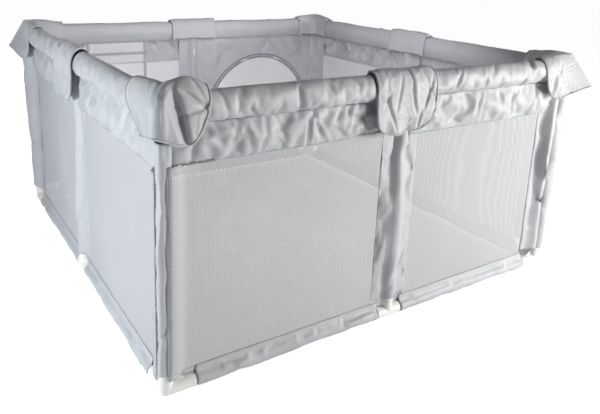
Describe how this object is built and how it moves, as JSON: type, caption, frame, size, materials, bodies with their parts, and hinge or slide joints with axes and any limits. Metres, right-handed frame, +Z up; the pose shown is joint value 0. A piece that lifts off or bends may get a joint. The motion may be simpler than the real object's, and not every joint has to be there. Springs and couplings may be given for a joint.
{
  "type": "playpen",
  "caption": "Square free-standing playpen: steel tube frame in moulded connectors, zipped fabric cover with mesh windows, lift-up corner and rail flaps, and an arched mesh door.",
  "frame": {"origin": "on the floor, at the middle of the playpen", "axes": "+Z up; the front wall faces -Y and the wall with the arched door is at +Y"},
  "size_m": [1.3556, 1.3556, 0.671],
  "materials": {
    "tube": "bare steel tube",
    "connector": "white moulded plastic, satin",
    "cover_cloth": "light grey-blue coated oxford weave, soft sheen",
    "cap_cloth": "light grey-blue coated oxford weave with pale piping",
    "mesh": "white knitted net, fine holes",
    "door_mesh": "white knitted net, fine holes",
    "binding": "woven grey tape",
    "zip_tape": "grey zip tape with a nylon coil",
    "slider_metal": "painted die-cast slider",
    "pull_tab": "pale moulded pull tab"
  },
  "bodies": {
    "frame": {"bottom_rail_front_left": "tube", "bottom_rail_front_right": "tube", "bottom_rail_right_left": "tube", "bottom_rail_right_right": "tube", "bottom_rail_back_left": "tube", "bottom_rail_back_right": "tube", "bottom_rail_left_left": "tube", "bottom_rail_left_right": "tube", "top_rail_front_left": "tube", "top_rail_front_right": "tube", "top_rail_right_left": "tube", "top_rail_right_right": "tube", "top_rail_back_left": "tube", "top_rail_back_right": "tube", "top_rail_left_left": "tube", "top_rail_left_right": "tube", "corner_post_front_left": "tube", "corner_post_front_right": "tube", "corner_post_back_right": "tube", "corner_post_back_left": "tube", "mid_post_front": "tube", "mid_post_right": "tube", "mid_post_back": "tube", "mid_post_left": "tube", "bottom_corner_front_left": "connector", "bottom_corner_front_right": "connector", "bottom_corner_back_right": "connector", "bottom_corner_back_left": "connector", "bottom_tee_front": "connector", "bottom_tee_right": "connector", "bottom_tee_back": "connector", "bottom_tee_left": "connector", "top_tee_front": "connector", "top_tee_right": "connector", "top_tee_back": "connector", "top_tee_left": "connector", "top_corners": "connector", "cover_front": "cover_cloth", "cover_right": "cover_cloth", "cover_back": "cover_cloth", "cover_left": "cover_cloth", "mesh_windows": "mesh", "door_zip": "zip_tape", "post_zip": "zip_tape", "back_window_tapes": "binding"},
    "corner_flap_front_left": {"corner_cap_front_left": "cap_cloth"},
    "corner_flap_front_right": {"corner_cap_front_right": "cap_cloth"},
    "corner_flap_back_right": {"corner_cap_back_right": "cap_cloth"},
    "corner_flap_back_left": {"corner_cap_back_left": "cap_cloth"},
    "mid_flap_front": {"mid_cap_front": "cap_cloth"},
    "mid_flap_right": {"mid_cap_right": "cap_cloth"},
    "mid_flap_back": {"mid_cap_back": "cap_cloth"},
    "mid_flap_left": {"mid_cap_left": "cap_cloth"},
    "door": {"door_flap": "door_mesh"},
    "slider_left": {"door_slider_left": "slider_metal"},
    "pull_left": {"door_pull_left": "pull_tab"},
    "slider_right": {"door_slider_right": "slider_metal"},
    "pull_right": {"door_pull_right": "pull_tab"},
    "post_slider": {"post_slider": "slider_metal"},
    "post_pull": {"post_pull": "pull_tab"}
  },
  "joints": [
    {"name": "corner_flap_front_left_lift", "type": "hinge", "parent": "frame", "child": "corner_flap_front_left", "pos_m": [-0.575, -0.575, 0.653], "axis": [-0.7071, 0.7071, 0], "range_deg": [0, 100]},
    {"name": "corner_flap_front_right_lift", "type": "hinge", "parent": "frame", "child": "corner_flap_front_right", "pos_m": [0.575, -0.575, 0.653], "axis": [-0.7071, -0.7071, 0], "range_deg": [0, 100]},
    {"name": "corner_flap_back_right_lift", "type": "hinge", "parent": "frame", "child": "corner_flap_back_right", "pos_m": [0.575, 0.575, 0.653], "axis": [0.7071, -0.7071, 0], "range_deg": [0, 100]},
    {"name": "corner_flap_back_left_lift", "type": "hinge", "parent": "frame", "child": "corner_flap_back_left", "pos_m": [-0.575, 0.575, 0.653], "axis": [0.7071, 0.7071, 0], "range_deg": [0, 100]},
    {"name": "mid_flap_front_lift", "type": "hinge", "parent": "frame", "child": "mid_flap_front", "pos_m": [0, -0.624, 0.653], "axis": [-1, 0, 0], "range_deg": [0, 150]},
    {"name": "mid_flap_right_lift", "type": "hinge", "parent": "frame", "child": "mid_flap_right", "pos_m": [0.624, 0, 0.653], "axis": [0, -1, 0], "range_deg": [0, 150]},
    {"name": "mid_flap_back_lift", "type": "hinge", "parent": "frame", "child": "mid_flap_back", "pos_m": [0, 0.624, 0.653], "axis": [1, 0, 0], "range_deg": [0, 150]},
    {"name": "mid_flap_left_lift", "type": "hinge", "parent": "frame", "child": "mid_flap_left", "pos_m": [-0.624, 0, 0.653], "axis": [0, 1, 0], "range_deg": [0, 150]},
    {"name": "door_swing", "type": "hinge", "parent": "frame", "child": "door", "pos_m": [0.328, 0.6255, 0.09], "axis": [-1, 0, 0], "range_deg": [0, 100]},
    {"name": "door_slider_left_travel", "type": "hinge", "parent": "frame", "child": "slider_left", "pos_m": [0.328, 0.6202, 0.252], "axis": [0, -1, 0], "range_deg": [-12, 70]},
    {"name": "door_pull_left_flip", "type": "hinge", "parent": "slider_left", "child": "pull_left", "pos_m": [0.25549, 0.6171, 0.48916], "axis": [-0.2924, 0, 0.9563], "range_deg": [0, 165]},
    {"name": "door_slider_right_travel", "type": "hinge", "parent": "frame", "child": "slider_right", "pos_m": [0.328, 0.6202, 0.252], "axis": [0, 1, 0], "range_deg": [-12, 70]},
    {"name": "door_pull_right_flip", "type": "hinge", "parent": "slider_right", "child": "pull_right", "pos_m": [0.40051, 0.6171, 0.48916], "axis": [-0.2924, 0, -0.9563], "range_deg": [0, 165]},
    {"name": "post_slider_travel", "type": "slide", "parent": "frame", "child": "post_slider", "axis": [0, 0, -1], "range_m": [0, 0.47]},
    {"name": "post_pull_flip", "type": "hinge", "parent": "post_slider", "child": "post_pull", "pos_m": [0, 0.603, 0.549], "axis": [-1, 0, 0], "range_deg": [0, 165]}
  ]
}
